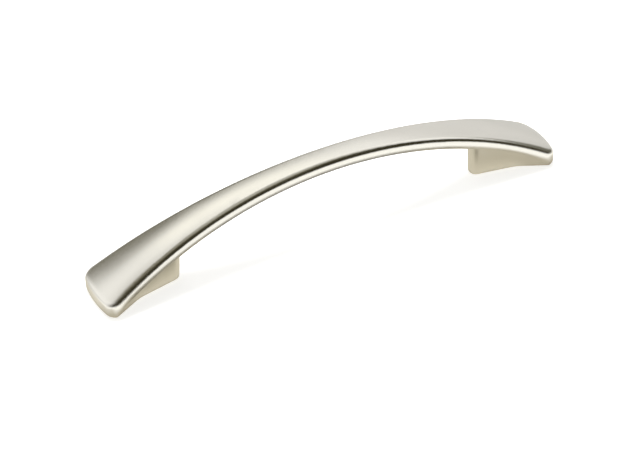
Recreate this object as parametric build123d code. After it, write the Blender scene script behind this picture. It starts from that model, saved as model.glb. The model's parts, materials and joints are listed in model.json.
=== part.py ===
from build123d import *
from math import cos, radians, sin, tan
import os

# Arch pull for cabinets and drawers: one zinc die casting, a waisted bow on two integral feet.
# Frame: X along the pull, Y across it, +Z away from the mounting face. The origin is on the mounting
# face, midway between the two screw holes. All sizes are in millimetres, all angles in degrees.

# The bow, seen from the side
overall_length = 173.0
projection = 29.3
tip_height = 5.7
bow_thickness = 4.6
under_setback = 0.5

# The bow, seen from above and in section
waist_width = 9.4
shoulder_width = 12.9
shoulder_x = 45.0
end_width = 22.6
end_bulge = 1.6
corner_radius = 4.0
crown_radius = 45.0
top_edge_radius = 1.6
rim_edge_radius = 1.2

# The feet
nose_radius = 2.6
nose_reach = 7.8
flank_angle = 10.5
flare_reach = 8.5
flare_angle = 26.7
flare_blend_radius = 16.0
foot_draft = 3.0
foot_edge_radius = 1.4
tip_edge_radius = 1.8
root_radius = 1.5

# The blind holes, drawn plain at the nominal radius of their M4 thread
hole_spacing = 128.0
thread_radius = 2.0
hole_depth = 10.0
hole_chamfer = 0.15

# How far the bow is left oversize before the rounded block trims it
trim_allowance = 0.06

# Sizes that follow from the ones above
half_length = overall_length / 2
corner_x = half_length - end_bulge
corner_y = end_width / 2
hole_x = hole_spacing / 2
under_rise = projection - bow_thickness
blank_height = 2 * projection
blank_reach = overall_length


def arch_radius(rise, run):
    """Radius of the arc that falls by rise over the distance run from its crest."""
    return (run**2 + rise**2) / (2 * rise)


def side_curve(side):
    """One long side from end to end: a slack arc over the waist and a tighter arc out to each corner."""
    shoulder_y = side * shoulder_width / 2
    waist = ThreePointArc((-shoulder_x, shoulder_y), (0, side * waist_width / 2), (shoulder_x, shoulder_y))
    left = TangentArc((-shoulder_x, shoulder_y), (-corner_x, side * corner_y), tangent=-(waist % 0))
    right = TangentArc((shoulder_x, shoulder_y), (corner_x, side * corner_y), tangent=waist % 1)
    return [left, waist, right]


def end_curve(side):
    """One end, a shallow arc that bulges outward."""
    return ThreePointArc((side * corner_x, -corner_y), (side * half_length, 0), (side * corner_x, corner_y))


def plan_outline():
    """Outline from above: two hollow sides and two bulged ends, with rounded corners."""
    outline = make_face([*side_curve(-1), *side_curve(1), end_curve(-1), end_curve(1)])
    corners = [corner for corner in outline.vertices() if abs(corner.X) > (shoulder_x + corner_x) / 2]
    return fillet(corners, corner_radius)


def crowned_arch():
    """Ring whose outside is the top of the bow: an arch along X with a gentle crown across Y."""
    radius = arch_radius(projection - tip_height, half_length)
    axis_z = projection - radius
    half_band = 0.8 * end_width
    crown_fall = crown_radius - (crown_radius**2 - half_band**2) ** 0.5
    low = axis_z - radius
    high = axis_z - radius / 2
    edge = low + crown_fall
    crown = ThreePointArc((-half_band, edge), (0, low), (half_band, edge))
    sides = Polyline((half_band, edge), (half_band, high), (-half_band, high), (-half_band, edge))
    section = Plane.YZ * make_face([crown, sides])
    return revolve(section, Axis((0, 0, axis_z), (0, 1, 0)), 360)


def rounded_block(plan):
    """Everything under the crowned top, as if the space below the bow were solid, with its edges rounded."""
    block = extrude(plan, blank_height) & crowned_arch()
    top = block.faces().filter_by(GeomType.TORUS).sort_by(SortBy.AREA)[-1]
    block = fillet(top.edges(), top_edge_radius)
    base = block.faces().sort_by(Axis.Z)[0]
    return fillet(base.edges(), tip_edge_radius)


def bow_slab(plan):
    """The bow's underside with the lower rim rounded, a hair oversize so that the block trims its sides."""
    radius = arch_radius(under_rise, half_length - under_setback)
    under = Pos(0, 0, under_rise - radius) * Rot(90, 0, 0) * Cylinder(radius, 2 * end_width)
    oversize = offset(plan, trim_allowance)
    slab = Pos(0, 0, -projection) * extrude(oversize, projection + blank_height) - under
    underside = min(slab.faces().filter_by(GeomType.CYLINDER), key=lambda face: abs(face.radius - radius))
    return fillet(underside.edges(), rim_edge_radius)


def foot_wedge():
    """Right foot, left tall and long: a round nose, straight flanks, then a flare that runs past the tip."""
    lean = radians(flank_angle)
    nose_x = hole_x - nose_reach + nose_radius
    touch_x = nose_x - nose_radius * sin(lean)
    touch_y = nose_radius * cos(lean)
    bend_x = hole_x + flare_reach
    bend_y = touch_y + (bend_x - touch_x) * tan(lean)
    end_y = bend_y + (blank_reach - bend_x) * tan(radians(flare_angle))
    nose = ThreePointArc((touch_x, -touch_y), (hole_x - nose_reach, 0), (touch_x, touch_y))
    sides = Polyline(
        (touch_x, touch_y),
        (bend_x, bend_y),
        (blank_reach, end_y),
        (blank_reach, -end_y),
        (bend_x, -bend_y),
        (touch_x, -touch_y),
    )
    outline = make_face([nose, sides])
    bends = outline.vertices().filter_by_position(Axis.X, touch_x, blank_reach, inclusive=(False, False))
    outline = fillet(bends, flare_blend_radius)
    wedge = extrude(outline, blank_height, taper=-foot_draft)
    base = wedge.faces().sort_by(Axis.Z)[0]
    return fillet(base.edges().sort_by(Axis.X)[:-1], foot_edge_radius)


def tapped_hole():
    """Blind hole for the screw, with a small lead-in at the mounting face."""
    upward = (Align.CENTER, Align.CENTER, Align.MIN)
    bore = Cylinder(thread_radius, hole_depth, align=upward)
    lead_in = Cone(thread_radius + hole_chamfer, thread_radius, hole_chamfer, align=upward)
    return bore + lead_in


def pull_body():
    """The whole casting."""
    plan = plan_outline()
    slab = bow_slab(plan)
    wedge = foot_wedge()
    feet = wedge + mirror(wedge, Plane.YZ)
    joined = slab + feet
    roots = [edge for edge in new_edges(slab, feet, combined=joined) if edge.center().Z < projection]
    body = fillet(roots, root_radius) & rounded_block(plan)
    for side in (-1, 1):
        body -= Pos(side * hole_x, 0, 0) * tapped_hole()
    return body


os.makedirs("parts", exist_ok=True)
export_step(pull_body(), "parts/pull_body.step")
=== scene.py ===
"""Arch pull in satin nickel: the plated finish, the screw threads and a plain studio round the casting.

Everything is in metres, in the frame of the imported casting: X along the pull, Y across it, Z away from
the mounting face, which lies on the floor.
"""
import json
from math import cos, radians, sin

import bpy
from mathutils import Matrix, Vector


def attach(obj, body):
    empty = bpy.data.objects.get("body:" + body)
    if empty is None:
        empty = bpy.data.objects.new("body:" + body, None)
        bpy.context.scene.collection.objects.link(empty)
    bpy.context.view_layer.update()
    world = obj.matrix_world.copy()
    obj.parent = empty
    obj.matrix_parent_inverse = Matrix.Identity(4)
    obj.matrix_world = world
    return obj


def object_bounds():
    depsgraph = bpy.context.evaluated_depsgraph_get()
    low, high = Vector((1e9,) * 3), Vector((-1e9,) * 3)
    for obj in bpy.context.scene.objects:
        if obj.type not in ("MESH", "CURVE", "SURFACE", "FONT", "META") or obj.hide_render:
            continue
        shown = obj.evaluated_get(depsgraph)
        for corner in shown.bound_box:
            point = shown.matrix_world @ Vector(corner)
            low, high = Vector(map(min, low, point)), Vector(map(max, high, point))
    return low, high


bl_info = {
    "name": "Arch pull in satin nickel",
    "version": (1, 0, 0),
    "blender": (4, 5, 0),
    "location": "3D View > Sidebar > Arch pull",
    "description": "Finishes an arch pull's casting, cuts its threads and sets a plain studio round it",
    "category": "Object",
}

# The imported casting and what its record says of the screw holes
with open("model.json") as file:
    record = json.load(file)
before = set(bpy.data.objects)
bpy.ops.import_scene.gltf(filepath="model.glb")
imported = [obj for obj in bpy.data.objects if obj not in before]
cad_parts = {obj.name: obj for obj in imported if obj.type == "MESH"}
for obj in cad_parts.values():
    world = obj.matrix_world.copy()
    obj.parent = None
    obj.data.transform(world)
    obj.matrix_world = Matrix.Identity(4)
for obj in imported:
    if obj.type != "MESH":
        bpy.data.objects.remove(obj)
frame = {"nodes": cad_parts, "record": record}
cad_low, cad_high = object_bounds()
CASTING = "pull_body"
HOLES = next(m for m in frame["record"]["mounts"] if m["name"] == "screw_holes")["dims"]
HOLE_SPACING = HOLES["spacing_x_mm"] / 1000
HOLE_RADIUS = HOLES["hole_r_mm"] / 1000
HOLE_DEPTH = 0.010

# The arc of the bow's underside, seen from the side
BOW_THICKNESS = 0.0046
UNDER_SETBACK = 0.0005
UNDER_RISE = cad_high[2] - BOW_THICKNESS
UNDER_RUN = cad_high[0] - UNDER_SETBACK
UNDER_RADIUS = (UNDER_RUN**2 + UNDER_RISE**2) / (2 * UNDER_RISE)
UNDER_CENTRE = UNDER_RISE - UNDER_RADIUS

# Depth of a metric thread in a hole, as a share of its pitch
THREAD_DEPTH = 0.54


class NickelSettings(bpy.types.PropertyGroup):
    """The plated finish of the casting."""

    plate_colour: bpy.props.FloatVectorProperty(
        name="Plate colour",
        description="Colour of the nickel plate, which has a warm cast",
        subtype="COLOR",
        size=3,
        min=0.0,
        max=1.0,
        default=(0.875, 0.85, 0.78),
    )
    bare_colour: bpy.props.FloatVectorProperty(
        name="Bare metal colour",
        description="Colour of the ground mounting faces and of the bores",
        subtype="COLOR",
        size=3,
        min=0.0,
        max=1.0,
        default=(0.58, 0.575, 0.56),
    )
    roughness: bpy.props.FloatProperty(
        name="Roughness",
        description="Roughness of the satin plate between its finer and coarser patches",
        subtype="FACTOR",
        min=0.0,
        max=1.0,
        default=0.23,
    )
    brush_length: bpy.props.FloatProperty(
        name="Brush mark length",
        description="Length of the fine brush marks, which run along the pull",
        unit="LENGTH",
        default=0.006,
    )
    brush_width: bpy.props.FloatProperty(
        name="Brush mark width",
        description="Width of one fine brush mark",
        unit="LENGTH",
        default=0.00012,
    )
    brush_relief: bpy.props.FloatProperty(
        name="Brush mark relief",
        description="Height of the brush marks",
        unit="LENGTH",
        default=0.000003,
    )
    drift_size: bpy.props.FloatProperty(
        name="Drift size",
        description="Size of the patches over which the plate's tone and polish drift",
        unit="LENGTH",
        default=0.018,
    )
    face_roughness: bpy.props.FloatProperty(
        name="Ground face roughness",
        description="Roughness of the ground mounting faces and of the bores",
        subtype="FACTOR",
        min=0.0,
        max=1.0,
        default=0.42,
    )
    edge_softness: bpy.props.FloatProperty(
        name="Edge softness",
        description="Radius over which the shading rounds the plate's edges",
        unit="LENGTH",
        default=0.0009,
    )
    end_softness: bpy.props.FloatProperty(
        name="End softness",
        description="Radius over which the shading rounds the edges at both ends of the pull",
        unit="LENGTH",
        default=0.0024,
    )
    rim_softness: bpy.props.FloatProperty(
        name="Rim softness",
        description="Radius over which the shading rounds the lower rim of the bow",
        unit="LENGTH",
        default=0.0034,
    )


class ThreadSettings(bpy.types.PropertyGroup):
    """The threads in the two screw holes."""

    pitch: bpy.props.FloatProperty(
        name="Pitch",
        description="Rise of the thread in one turn",
        unit="LENGTH",
        default=0.0007,
    )
    lead_in: bpy.props.FloatProperty(
        name="Lead-in",
        description="Distance from the mounting face to the first turn",
        unit="LENGTH",
        default=0.0006,
    )
    run_out: bpy.props.FloatProperty(
        name="Run-out",
        description="Length of bore without a thread at the blind end",
        unit="LENGTH",
        default=0.0012,
    )
    seat: bpy.props.FloatProperty(
        name="Seat",
        description="How far the ridge is sunk into the wall of the bore",
        unit="LENGTH",
        default=0.00006,
    )


class StudioSettings(bpy.types.PropertyGroup):
    """The floor, the light and the camera."""

    floor_colour: bpy.props.FloatVectorProperty(
        name="Floor colour",
        description="Colour of the plain floor",
        subtype="COLOR",
        size=3,
        min=0.0,
        max=1.0,
        default=(0.91, 0.91, 0.9),
    )
    floor_glow: bpy.props.FloatProperty(
        name="Floor glow",
        description="Light that the floor shows to the eye besides the light that falls on it",
        min=0.0,
        default=0.7,
    )
    bank_power: bpy.props.FloatProperty(
        name="Soft bank power",
        description="Power of the soft light above the pull, which throws its shadow on the floor",
        unit="POWER",
        default=1.6,
    )
    camera_azimuth: bpy.props.FloatProperty(
        name="Camera azimuth",
        description="Turn of the camera round the pull from its near side, below zero to the left",
        subtype="ANGLE",
        default=radians(-29.3),
    )
    camera_elevation: bpy.props.FloatProperty(
        name="Camera elevation",
        description="Height of the camera above the floor, as an angle",
        subtype="ANGLE",
        default=radians(38.75),
    )
    camera_distance: bpy.props.FloatProperty(
        name="Camera distance",
        description="Distance from the camera to the point that it aims at",
        unit="LENGTH",
        default=0.674,
    )
    camera_aim: bpy.props.FloatVectorProperty(
        name="Camera aim",
        description="Point that the camera aims at",
        subtype="XYZ",
        size=3,
        default=(-0.0158, -0.0225, 0.016),
    )
    camera_lens: bpy.props.FloatProperty(
        name="Camera lens",
        description="Focal length for a sensor 36 mm wide, in millimetres",
        unit="CAMERA",
        default=117.6,
    )


def direction(azimuth, elevation):
    """Unit vector from the pull; azimuth 0 is straight behind it and grows to the right, in degrees."""
    turn = radians(azimuth)
    rise = radians(elevation)
    return Vector((sin(turn) * cos(rise), cos(turn) * cos(rise), sin(rise)))


def opaque(colour):
    """Colour with its fourth value, for a node's socket."""
    return (*colour, 1.0)


def node(tree, kind, values=None, **attributes):
    """Add a node, set its attributes and then its inputs by name or number."""
    made = tree.nodes.new(kind)
    for name, value in attributes.items():
        setattr(made, name, value)
    for key, value in (values or {}).items():
        if isinstance(value, bpy.types.NodeSocket):
            tree.links.new(value, made.inputs[key])
        else:
            made.inputs[key].default_value = value
    return made


def math(tree, operation, first, second=0.0, third=0.0):
    """Result of a Math node."""
    return node(tree, "ShaderNodeMath", {0: first, 1: second, 2: third}, operation=operation).outputs[0]


def greatest(tree, first, *others):
    """Greatest of several values."""
    for value in others:
        first = math(tree, "MAXIMUM", first, value)
    return first


def length(tree, first, second):
    """Length of a line from its two parts at right angles."""
    squares = math(tree, "ADD", math(tree, "POWER", first, 2.0), math(tree, "POWER", second, 2.0))
    return math(tree, "SQRT", squares)


def ramp(tree, value, start, end, low=0.0, high=1.0):
    """Value eased from low at start to high at end, and held outside them."""
    inputs = {"Value": value, 1: start, 2: end, 3: low, 4: high}
    return node(tree, "ShaderNodeMapRange", inputs, interpolation_type="SMOOTHSTEP").outputs[0]


def blend(tree, factor, first, second):
    """Colour that goes from the first to the second as the factor goes from 0 to 1."""
    inputs = {"Factor": factor, 6: first, 7: second}
    return node(tree, "ShaderNodeMix", inputs, data_type="RGBA").outputs[2]


def object_axes(tree):
    """Object coordinates, as separate X, Y and Z."""
    place = node(tree, "ShaderNodeTexCoord").outputs["Object"]
    return node(tree, "ShaderNodeSeparateXYZ", {0: place}).outputs


def new_material(name):
    """Empty node material and its tree."""
    material = bpy.data.materials.new(name)
    material.use_nodes = True
    material.node_tree.nodes.clear()
    return material, material.node_tree


def surface(tree, shader):
    """Send a shader node to the material's output."""
    node(tree, "ShaderNodeOutputMaterial", {"Surface": shader.outputs[0]})


def metal_grain_group():
    """Shader group: fine marks drawn out along X, and a slow drift between finer and coarser patches."""
    name = "Metal grain"
    if name in bpy.data.node_groups:
        return bpy.data.node_groups[name]
    group = bpy.data.node_groups.new(name, "ShaderNodeTree")
    for socket in ("Mark length", "Mark width", "Drift size"):
        group.interface.new_socket(name=socket, in_out="INPUT", socket_type="NodeSocketFloat")
    for socket in ("Marks", "Drift"):
        group.interface.new_socket(name=socket, in_out="OUTPUT", socket_type="NodeSocketFloat")
    entry = node(group, "NodeGroupInput").outputs
    place = node(group, "ShaderNodeTexCoord").outputs["Object"]
    along = math(group, "DIVIDE", 1.0, entry["Mark length"])
    across = math(group, "DIVIDE", 1.0, entry["Mark width"])
    scale = node(group, "ShaderNodeCombineXYZ", {"X": along, "Y": across, "Z": across}).outputs[0]
    drawn_out = node(group, "ShaderNodeVectorMath", {0: place, 1: scale}, operation="MULTIPLY").outputs[0]
    slow = math(group, "DIVIDE", 1.0, entry["Drift size"])
    noises = {
        "Marks": {"Vector": drawn_out, "Scale": 1.0, "Detail": 3.0, "Roughness": 0.6},
        "Drift": {"Vector": place, "Scale": slow, "Detail": 4.0, "Roughness": 0.55},
    }
    leave = node(group, "NodeGroupOutput")
    for socket, inputs in noises.items():
        noise = node(group, "ShaderNodeTexNoise", inputs)
        group.links.new(noise.outputs["Fac"], leave.inputs[socket])
    return group


def metal_grain(tree, mark_length, mark_width, drift_size):
    """Place the grain group with its sizes; gives its marks and its drift."""
    sizes = {"Mark length": mark_length, "Mark width": mark_width, "Drift size": drift_size}
    grain = node(tree, "ShaderNodeGroup", sizes, node_tree=metal_grain_group()).outputs
    return grain["Marks"], grain["Drift"]


def finish_metal(tree, colour, rough, relief, under=None):
    """Metal with a relief, over the normal given as under, sent to the material's output."""
    bumps = {"Height": relief, "Strength": 1.0, "Distance": 1.0}
    if under is not None:
        bumps["Normal"] = under
    normal = node(tree, "ShaderNodeBump", bumps).outputs[0]
    looks = {"Base Color": colour, "Metallic": 1.0, "Roughness": rough, "Normal": normal}
    surface(tree, node(tree, "ShaderNodeBsdfPrincipled", looks))


def bare_metal(tree, axes):
    """Mask of the flat mounting faces and of the bores: near a hole's axis and below its blind end."""
    face_top = 0.00002
    face_fade = 0.00008
    ground = ramp(tree, axes["Z"], face_top, face_top + face_fade, 1.0, 0.0)
    beside_hole = math(tree, "SUBTRACT", math(tree, "ABSOLUTE", axes["X"]), HOLE_SPACING / 2)
    from_axis = length(tree, beside_hole, axes["Y"])
    near_axis = ramp(tree, from_axis, 1.08 * HOLE_RADIUS, 1.25 * HOLE_RADIUS, 1.0, 0.0)
    below_end = ramp(tree, axes["Z"], 1.02 * HOLE_DEPTH, 1.1 * HOLE_DEPTH, 1.0, 0.0)
    return math(tree, "MAXIMUM", ground, math(tree, "MULTIPLY", near_axis, below_end))


def soft_edges(tree, axes, bare, settings):
    """Normal that shades the plate's edges rounder than the mesh is; the bare metal keeps its own.

    The shading is softest at both ends and along the lower rim of the bow.
    """
    end_start = 0.05
    end_full = 0.084
    rim_full = 0.0015
    rim_end = 0.003
    along = math(tree, "ABSOLUTE", axes["X"])
    at_end = ramp(tree, along, end_start, end_full, 0.0, settings.end_softness)
    above_centre = math(tree, "SUBTRACT", axes["Z"], UNDER_CENTRE)
    above_under = math(tree, "SUBTRACT", length(tree, axes["X"], above_centre), UNDER_RADIUS)
    at_rim = ramp(tree, above_under, rim_full, rim_end, settings.rim_softness, 0.0)
    softness = greatest(tree, at_end, at_rim, settings.edge_softness)
    radius = math(tree, "MULTIPLY", softness, math(tree, "SUBTRACT", 1.0, bare))
    return node(tree, "ShaderNodeBevel", {"Radius": radius}, samples=12).outputs[0]


def satin_nickel(settings):
    """Satin plate with fine brush marks; the ground mounting faces and the bores are duller."""
    material, tree = new_material("satin nickel plate")
    marks, drift = metal_grain(tree, settings.brush_length, settings.brush_width, settings.drift_size)
    axes = object_axes(tree)
    bare = bare_metal(tree, axes)
    # Colour: the plate's tone drifts a little, and the bare metal is greyer
    dark_share = 0.965
    plate = Vector(settings.plate_colour)
    tone = blend(tree, ramp(tree, drift, 0.3, 0.7), opaque(dark_share * plate), opaque(plate))
    colour = blend(tree, bare, tone, opaque(settings.bare_colour))
    # Roughness: drift and marks on the plate, a duller value on the bare metal
    plate_marks = 0.05
    bare_marks = 0.12
    finest = settings.roughness - 0.02
    coarsest = settings.roughness + 0.03
    patch = math(tree, "SUBTRACT", ramp(tree, drift, 0.25, 0.75, finest, coarsest), plate_marks / 2)
    plate_rough = math(tree, "MULTIPLY_ADD", marks, plate_marks, patch)
    bare_rough = math(tree, "MULTIPLY_ADD", marks, bare_marks, settings.face_roughness - bare_marks / 2)
    sides = {0: bare, 2: plate_rough, 3: bare_rough}
    rough = node(tree, "ShaderNodeMix", sides, data_type="FLOAT").outputs[0]
    # Relief: the marks are four times as deep on the bare metal
    bare_relief = 4 * settings.brush_relief
    height = ramp(tree, bare, 0.0, 1.0, settings.brush_relief, bare_relief)
    relief = math(tree, "MULTIPLY", marks, height)
    finish_metal(tree, colour, rough, relief, soft_edges(tree, axes, bare, settings))
    return material


def cut_thread_metal(settings):
    """Plated flanks of a cut thread: the plate's colour, a little darker, with marks from the tap."""
    material, tree = new_material("cut thread")
    marks, drift = metal_grain(tree, mark_length=0.0004, mark_width=0.00008, drift_size=0.002)
    mark_height = 0.000004
    dark_share = 0.7
    light_share = 0.85
    finest = 0.28
    coarsest = 0.4
    plate = Vector(settings.plate_colour)
    tone = blend(tree, drift, opaque(dark_share * plate), opaque(light_share * plate))
    rough = ramp(tree, marks, 0.3, 0.7, finest, coarsest)
    finish_metal(tree, tone, rough, math(tree, "MULTIPLY", marks, mark_height))
    return material


def thread_tree():
    """Geometry nodes: a helical ridge on the wall of a bore, repeated at both holes."""
    points_per_turn = 40
    root_share = 0.9
    crest_share = 0.25
    tree = bpy.data.node_groups.new("Thread ridges", "GeometryNodeTree")
    tree.interface.new_socket(name="Geometry", in_out="OUTPUT", socket_type="NodeSocketGeometry")
    for name in ("Pitch", "Ridge length", "Lead-in", "Ridge radius", "Ridge height", "Hole spacing"):
        tree.interface.new_socket(name=name, in_out="INPUT", socket_type="NodeSocketFloat")
    tree.interface.new_socket(name="Material", in_out="INPUT", socket_type="NodeSocketMaterial")
    entry = node(tree, "NodeGroupInput").outputs
    helix = node(
        tree,
        "GeometryNodeCurveSpiral",
        {
            "Resolution": points_per_turn,
            "Rotations": math(tree, "DIVIDE", entry["Ridge length"], entry["Pitch"]),
            "Start Radius": entry["Ridge radius"],
            "End Radius": entry["Ridge radius"],
            "Height": entry["Ridge length"],
        },
    ).outputs[0]
    upright = node(tree, "GeometryNodeSetCurveNormal", {"Curve": helix}, mode="Z_UP").outputs[0]
    profile = node(
        tree,
        "GeometryNodeCurvePrimitiveQuadrilateral",
        {
            "Bottom Width": math(tree, "MULTIPLY", entry["Pitch"], root_share),
            "Top Width": math(tree, "MULTIPLY", entry["Pitch"], crest_share),
            "Offset": 0.0,
            "Height": entry["Ridge height"],
        },
        mode="TRAPEZOID",
    ).outputs[0]
    ridge = node(
        tree,
        "GeometryNodeCurveToMesh",
        {"Curve": upright, "Profile Curve": profile, "Fill Caps": True},
    ).outputs[0]
    lift = node(tree, "ShaderNodeCombineXYZ", {"Z": entry["Lead-in"]}).outputs[0]
    raised = node(tree, "GeometryNodeTransform", {"Geometry": ridge, "Translation": lift}).outputs[0]
    half = math(tree, "DIVIDE", entry["Hole spacing"], 2.0)
    left = node(tree, "ShaderNodeCombineXYZ", {"X": math(tree, "MULTIPLY", half, -1.0)}).outputs[0]
    step = node(tree, "ShaderNodeCombineXYZ", {"X": entry["Hole spacing"]}).outputs[0]
    holes = node(
        tree,
        "GeometryNodeMeshLine",
        {"Count": 2, "Start Location": left, "Offset": step},
        mode="OFFSET",
    ).outputs[0]
    both = node(tree, "GeometryNodeInstanceOnPoints", {"Points": holes, "Instance": raised}).outputs[0]
    plain = node(tree, "GeometryNodeRealizeInstances", {"Geometry": both}).outputs[0]
    coat = {"Geometry": plain, "Material": entry["Material"]}
    done = node(tree, "GeometryNodeSetMaterial", coat).outputs[0]
    leave = node(tree, "NodeGroupOutput")
    tree.links.new(done, leave.inputs["Geometry"])
    return tree


def made_by_nodes(name, tree, values):
    """Object with the plain mesh that a geometry node tree makes from the given input values."""
    seed = bpy.data.objects.new(name, bpy.data.meshes.new(name))
    bpy.context.scene.collection.objects.link(seed)
    modifier = seed.modifiers.new(tree.name, "NODES")
    modifier.node_group = tree
    for socket in tree.interface.items_tree:
        if socket.in_out == "INPUT":
            modifier[socket.identifier] = values[socket.name]
    evaluated = seed.evaluated_get(bpy.context.evaluated_depsgraph_get())
    mesh = bpy.data.meshes.new_from_object(evaluated)
    seed.modifiers.remove(modifier)
    seed.data = mesh
    mesh.name = name
    if not mesh.polygons:
        raise RuntimeError(f"{name}: the node tree made no faces")
    return seed


def by_ray(tree, camera, glossy, other):
    """Value that depends on the kind of ray that sees the surface or the world."""
    rays = node(tree, "ShaderNodeLightPath").outputs
    to_eye = math(tree, "ADD", rays["Is Camera Ray"], rays["Is Transmission Ray"])
    part = math(tree, "MULTIPLY_ADD", to_eye, camera - other, other)
    return math(tree, "MULTIPLY_ADD", rays["Is Glossy Ray"], glossy - other, part)


def painted_floor_reflection(tree):
    """Emission shader of the floor as the metal mirrors it, with painted shade and painted light set by
    place.

    A painted shadow lies below the pull, deepest along its near side. Round it, painted light makes the
    open floor bright in front of the pull, and grey behind it and far from it.
    """
    bright = opaque((1.2, 1.2, 1.18))
    grey = opaque((0.68, 0.675, 0.66))
    below_bow = opaque((0.34, 0.34, 0.33))
    below_feet = opaque((0.7, 0.655, 0.54))
    near_bow = opaque((0.27, 0.25, 0.19))
    near_feet = opaque((0.54, 0.5, 0.405))
    axes = object_axes(tree)
    along = math(tree, "ABSOLUTE", axes["X"])
    # Distance in front of the middle line; at both ends the painted shade stops 6 mm nearer to it
    front = math(tree, "SUBTRACT", ramp(tree, along, 0.07, 0.08, 0.0, 0.006), axes["Y"])
    open_front = ramp(tree, front, 0.0165, 0.024)
    open_back = ramp(tree, axes["Y"], 0.012, 0.03)
    open_end = ramp(tree, along, 0.084, 0.1)
    open_floor = greatest(tree, open_front, open_back, open_end)
    # Open floor: a painted pool of light centred 50 mm in front of the pull, grey behind it and far off
    from_spot = length(tree, axes["X"], math(tree, "ADD", axes["Y"], 0.05))
    off_spot = greatest(tree, ramp(tree, from_spot, 0.1, 0.22), ramp(tree, axes["Y"], -0.005, 0.03))
    lit = blend(tree, off_spot, bright, grey)
    # Painted shade: below the pull, and along its near side, where its middle lies 10 mm to the left
    below = blend(tree, ramp(tree, along, 0.03, 0.045), below_bow, below_feet)
    off_middle = math(tree, "ABSOLUTE", math(tree, "ADD", axes["X"], 0.01))
    near = blend(tree, ramp(tree, off_middle, 0.06, 0.067), near_bow, near_feet)
    shade = blend(tree, ramp(tree, front, 0.004, 0.013), below, near)
    return node(tree, "ShaderNodeEmission", {"Color": blend(tree, open_floor, shade, lit)})


def mix_shaders(tree, factor, first, second):
    """Shader node that goes from the first to the second as the factor goes from 0 to 1."""
    return node(tree, "ShaderNodeMixShader", {0: factor, 1: first.outputs[0], 2: second.outputs[0]})


def floor_material(settings):
    """Plain pale floor that takes the pull's shadow; the metal mirrors it with a painted shadow and
    painted light.
    """
    material, tree = new_material("plain floor")
    pale = opaque(settings.floor_colour)
    matte = node(tree, "ShaderNodeBsdfDiffuse", {"Color": pale})
    strength = by_ray(tree, camera=settings.floor_glow, glossy=0.0, other=0.0)
    glow = node(tree, "ShaderNodeEmission", {"Color": pale, "Strength": strength})
    seen = node(tree, "ShaderNodeAddShader", {0: matte.outputs[0], 1: glow.outputs[0]})
    # Glossy rays see the floor's painted shade and painted light instead of its own shading
    glossy = node(tree, "ShaderNodeLightPath").outputs["Is Glossy Ray"]
    from_above = mix_shaders(tree, glossy, seen, painted_floor_reflection(tree))
    # The floor is clear from below, so that the mounting faces can be looked at
    backfacing = node(tree, "ShaderNodeNewGeometry").outputs["Backfacing"]
    clear = node(tree, "ShaderNodeBsdfTransparent")
    surface(tree, mix_shaders(tree, backfacing, from_above, clear))
    return material


def make_floor(settings):
    """Wide plain floor just under the mounting face."""
    reach = 4.0
    drop = 0.00005
    plan = ((-1, -1), (1, -1), (1, 1), (-1, 1))
    corners = [(reach * x, reach * y, -drop) for x, y in plan]
    mesh = bpy.data.meshes.new("floor")
    mesh.from_pydata(corners, [], [(0, 1, 2, 3)])
    mesh.materials.append(floor_material(settings))
    floor = bpy.data.objects.new("floor", mesh)
    bpy.context.scene.collection.objects.link(floor)


def card_cloth():
    """Cloth of the cards: the object's own colour, as far as the card's cover reaches."""
    material, tree = new_material("card cloth")
    cover = node(tree, "ShaderNodeAttribute", attribute_name="cover").outputs["Fac"]
    colour = node(tree, "ShaderNodeObjectInfo").outputs["Color"]
    clear = node(tree, "ShaderNodeBsdfTransparent")
    cloth = node(tree, "ShaderNodeEmission", {"Color": colour})
    surface(tree, mix_shaders(tree, cover, clear, cloth))
    return material


def eased(distance, width):
    """Rise from 0 at an edge to 1 at the given width from it; a width of 0 makes the edge hard."""
    part = min(max(distance / width, 0.0), 1.0) if width else 1.0
    return part * part * (3 - 2 * part)


def make_card(name, cloth, azimuths, elevations, colour, fades, radius=1.5):
    """Curved card that only reflections see, over a range of directions from the pull in degrees.

    The fades are the widths over which its left, right, lower and upper edges thin out.
    """
    step = 3.0
    columns = round((azimuths[1] - azimuths[0]) / step)
    rows = round((elevations[1] - elevations[0]) / step)
    points = []
    covers = []
    for row in range(rows + 1):
        elevation = elevations[0] + (elevations[1] - elevations[0]) * row / rows
        rise = eased(elevation - elevations[0], fades[2]) * eased(elevations[1] - elevation, fades[3])
        for column in range(columns + 1):
            azimuth = azimuths[0] + (azimuths[1] - azimuths[0]) * column / columns
            turn = eased(azimuth - azimuths[0], fades[0]) * eased(azimuths[1] - azimuth, fades[1])
            points.append(radius * direction(azimuth, elevation))
            covers.append(rise * turn)
    faces = []
    for row in range(rows):
        for column in range(columns):
            corner = row * (columns + 1) + column
            faces.append((corner, corner + 1, corner + columns + 2, corner + columns + 1))
    mesh = bpy.data.meshes.new(name)
    mesh.from_pydata(points, [], faces)
    mesh.attributes.new("cover", "FLOAT", "POINT").data.foreach_set("value", covers)
    mesh.materials.append(cloth)
    card = bpy.data.objects.new(name, mesh)
    card.color = opaque(colour)
    bpy.context.scene.collection.objects.link(card)
    for rays in ("camera", "diffuse", "transmission", "volume_scatter", "shadow"):
        setattr(card, "visible_" + rays, False)


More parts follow.
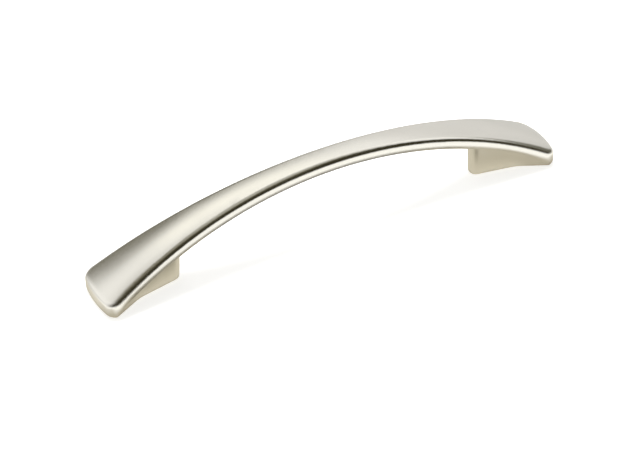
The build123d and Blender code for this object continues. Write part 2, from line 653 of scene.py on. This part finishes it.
def make_cards():
    """Dark, grey and bright cards round the white studio, which give the metal its reflections."""
    cloth = card_cloth()
    black = (0.034, 0.030, 0.016)
    make_card("front_card", cloth, (100, 295), (-15, 64), black, (22, 60, 0, 10))
    dark_grey = (0.15, 0.135, 0.09)
    make_card("front_top_card", cloth, (80, 332), (46, 84), dark_grey, (40, 32, 12, 22), radius=1.6)
    mid_grey = (0.41, 0.405, 0.36)
    make_card("top_card", cloth, (-180, 180), (52, 90), mid_grey, (0, 0, 14, 0), radius=1.7)
    rear_grey = (0.17, 0.163, 0.128)
    make_card("rear_card", cloth, (-42, 38), (-15, 44), rear_grey, (28, 30, 0, 10))
    light_grey = (0.76, 0.755, 0.75)
    make_card("rear_side_card", cloth, (16, 66), (-15, 34), light_grey, (10, 10, 0, 8), radius=1.6)
    side_grey = (0.125, 0.12, 0.092)
    make_card("side_card", cloth, (58, 120), (-15, 38), side_grey, (12, 0, 0, 14))
    over_white = (1.3, 1.29, 1.22)
    make_card("bright_card", cloth, (-30, 45), (40, 57), over_white, (15, 20, 5, 8), radius=1.8)


def make_world():
    """White studio: white to the eye, a touch brighter in reflections, and softer as a light."""
    world = bpy.data.worlds.new("white studio")
    world.use_nodes = True
    tree = world.node_tree
    tree.nodes.clear()
    white = opaque((1.0, 1.0, 1.0))
    strength = by_ray(tree, camera=1.0, glossy=1.03, other=0.4)
    glow = node(tree, "ShaderNodeBackground", {"Color": white, "Strength": strength})
    node(tree, "ShaderNodeOutputWorld", {"Surface": glow.outputs[0]})
    bpy.context.scene.world = world


def make_bank(settings):
    """Soft light above the pull, which shades the floor; the metal mirrors the studio instead."""
    reach = 0.5
    aim = direction(0, 76)
    data = bpy.data.lights.new("soft bank", "AREA")
    data.shape = "RECTANGLE"
    data.size = 0.22
    data.size_y = 0.2
    data.energy = settings.bank_power
    bank = bpy.data.objects.new("soft_bank", data)
    bank.location = reach * aim
    bank.rotation_euler = aim.to_track_quat("Z", "Y").to_euler()
    bank.visible_glossy = False
    bpy.context.scene.collection.objects.link(bank)


def make_camera(settings):
    """Camera at the photograph's viewing angle."""
    azimuth = settings.camera_azimuth
    elevation = settings.camera_elevation
    back = Vector((sin(azimuth) * cos(elevation), -cos(azimuth) * cos(elevation), sin(elevation)))
    data = bpy.data.cameras.new("camera")
    data.sensor_width = 36.0
    data.lens = settings.camera_lens
    data.clip_start = 0.01
    camera = bpy.data.objects.new("camera", data)
    camera.location = Vector(settings.camera_aim) + settings.camera_distance * back
    camera.rotation_euler = (-back).to_track_quat("-Z", "Y").to_euler()
    bpy.context.scene.collection.objects.link(camera)
    bpy.context.scene.camera = camera


class FinishCasting(bpy.types.Operator):
    """Give the casting its satin nickel plate"""

    bl_idname = "arch_pull.finish_casting"
    bl_label = "Finish the casting"

    def execute(self, context):
        casting = frame["nodes"][CASTING]
        casting.data.materials.clear()
        casting.data.materials.append(satin_nickel(context.scene.arch_pull_nickel))
        return {"FINISHED"}


class CutThreads(bpy.types.Operator):
    """Cut the threads in the two screw holes"""

    bl_idname = "arch_pull.cut_threads"
    bl_label = "Cut the threads"

    def execute(self, context):
        thread = context.scene.arch_pull_thread
        height = THREAD_DEPTH * thread.pitch + thread.seat
        values = {
            "Pitch": thread.pitch,
            "Ridge length": HOLE_DEPTH - thread.lead_in - thread.run_out,
            "Lead-in": thread.lead_in,
            "Ridge radius": HOLE_RADIUS + thread.seat - height / 2,
            "Ridge height": height,
            "Hole spacing": HOLE_SPACING,
            "Material": cut_thread_metal(context.scene.arch_pull_nickel),
        }
        threads = made_by_nodes("hole_threads", thread_tree(), values)
        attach(threads, "root")
        return {"FINISHED"}


class SetStage(bpy.types.Operator):
    """Set the white studio, the floor, the cards, the light and the camera"""

    bl_idname = "arch_pull.set_stage"
    bl_label = "Set the stage"

    def execute(self, context):
        studio = context.scene.arch_pull_studio
        context.scene.view_settings.view_transform = "Standard"
        make_world()
        make_floor(studio)
        make_cards()
        make_bank(studio)
        make_camera(studio)
        return {"FINISHED"}


class ArchPullPanel(bpy.types.Panel):
    """Settings of the arch pull in the sidebar"""

    bl_idname = "VIEW3D_PT_arch_pull"
    bl_label = "Arch pull"
    bl_space_type = "VIEW_3D"
    bl_region_type = "UI"
    bl_category = "Arch pull"

    def draw(self, context):
        scene = context.scene
        for operator, settings in (
            (FinishCasting, scene.arch_pull_nickel),
            (CutThreads, scene.arch_pull_thread),
            (SetStage, scene.arch_pull_studio),
        ):
            box = self.layout.box()
            box.operator(operator.bl_idname)
            for name in settings.__annotations__:
                box.prop(settings, name)


CLASSES = (
    NickelSettings,
    ThreadSettings,
    StudioSettings,
    FinishCasting,
    CutThreads,
    SetStage,
    ArchPullPanel,
)


def register():
    """Register the classes and hang the settings on the scene."""
    for cls in CLASSES:
        bpy.utils.register_class(cls)
    bpy.types.Scene.arch_pull_nickel = bpy.props.PointerProperty(type=NickelSettings)
    bpy.types.Scene.arch_pull_thread = bpy.props.PointerProperty(type=ThreadSettings)
    bpy.types.Scene.arch_pull_studio = bpy.props.PointerProperty(type=StudioSettings)


def unregister():
    """Take the settings off the scene and unregister the classes."""
    del bpy.types.Scene.arch_pull_studio
    del bpy.types.Scene.arch_pull_thread
    del bpy.types.Scene.arch_pull_nickel
    for cls in reversed(CLASSES):
        bpy.utils.unregister_class(cls)


def main():
    """Finish the casting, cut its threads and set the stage."""
    register()
    bpy.ops.arch_pull.finish_casting()
    bpy.ops.arch_pull.cut_threads()
    bpy.ops.arch_pull.set_stage()


if __name__ == "__main__":
    main()
